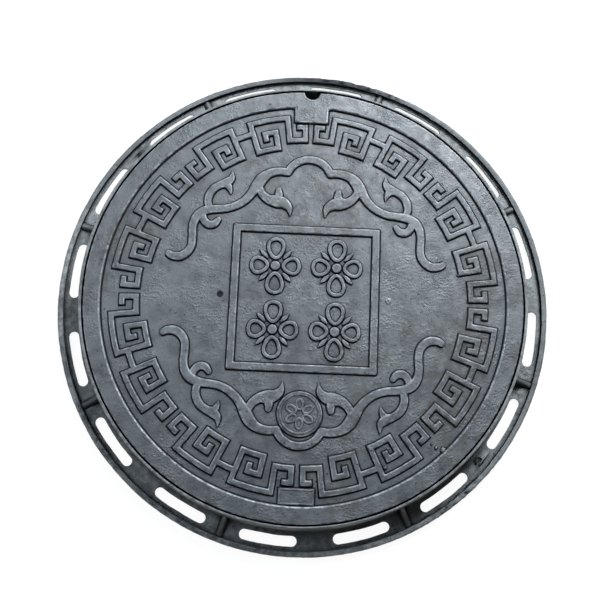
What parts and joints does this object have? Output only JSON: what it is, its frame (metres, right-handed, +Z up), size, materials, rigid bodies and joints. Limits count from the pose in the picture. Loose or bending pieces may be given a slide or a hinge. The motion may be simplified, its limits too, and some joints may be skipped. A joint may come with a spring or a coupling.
{
  "type": "manhole cover",
  "caption": "Round cast-iron manhole cover with a fret and cloud-scroll relief, loose in a slotted, flanged frame with a rubber seat ring.",
  "frame": {"origin": "centre of the frame's base, on the face that rests on the shaft", "axes": "+Z up out of the shaft; +Y to the middle of a gap between two flange slots, near the cover's pick notch"},
  "size_m": [0.8, 0.8, 0.065],
  "materials": {
    "frame_iron": "black bitumen paint over cast iron, satin",
    "cover_iron": "black bitumen paint over cast iron, soft sheen",
    "seat_rubber": "matt black rubber"
  },
  "bodies": {
    "frame": {"frame": "frame_iron"},
    "gasket": {"gasket": "seat_rubber"},
    "cover": {"cover": "cover_iron"}
  },
  "joints": [
    {"name": "cover_turn", "type": "hinge", "parent": "frame", "child": "gasket", "pos_m": [0, 0, 0.031], "axis": [0, 0, 1], "continuous": true},
    {"name": "cover_lift", "type": "slide", "parent": "gasket", "child": "cover", "axis": [0, 0, 1], "range_m": [0, 0.12]}
  ]
}
